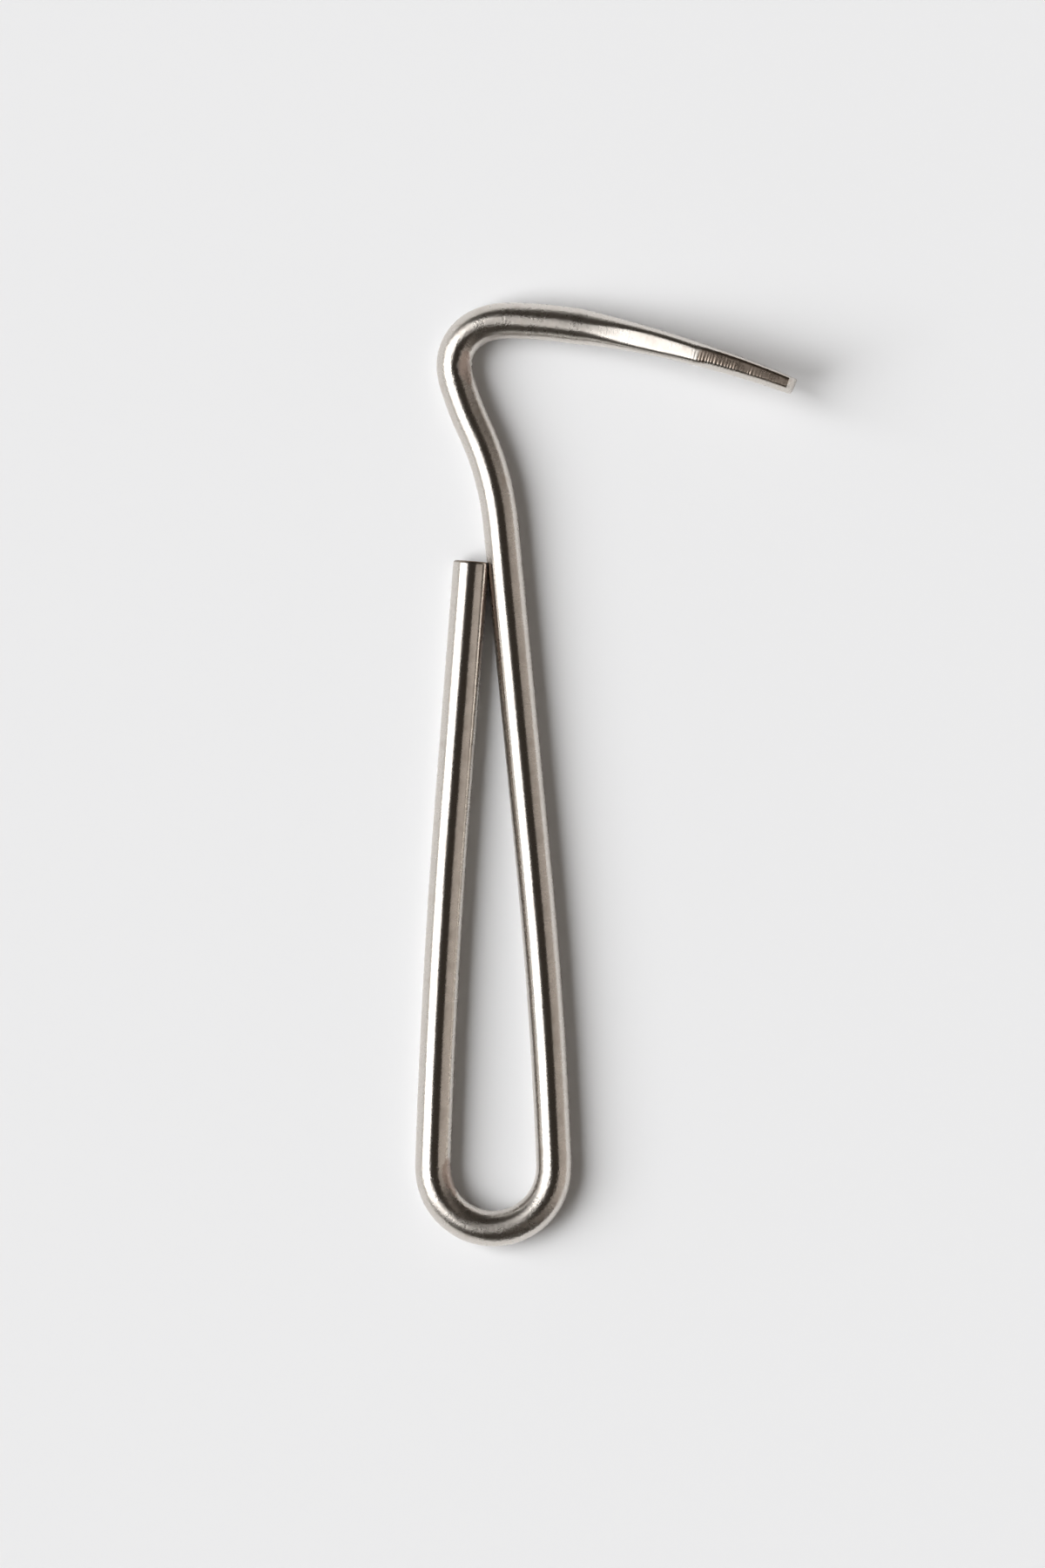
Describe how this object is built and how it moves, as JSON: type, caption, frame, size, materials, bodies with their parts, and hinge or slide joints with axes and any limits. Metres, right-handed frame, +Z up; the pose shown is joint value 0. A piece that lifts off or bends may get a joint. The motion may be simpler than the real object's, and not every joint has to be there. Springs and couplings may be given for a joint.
{
  "type": "bent-wire hook tool",
  "caption": "One-piece tool bent from round rod: long closed loop grip, leaning neck, tight hook bend and an arm forged into a narrow flat-ended blade.",
  "frame": {"origin": "middle of the tool's outline, on the flat surface that the tool lies on", "axes": "+Y along the handle towards the hook, +X the way the arm and its blade point, +Z up from the surface that the tool lies on"},
  "size_m": [0.0636, 0.1574, 0.0121],
  "materials": {
    "nickel_plate": "gloss"
  },
  "bodies": {
    "root": {"bent_rod": "nickel_plate"}
  },
  "joints": []
}
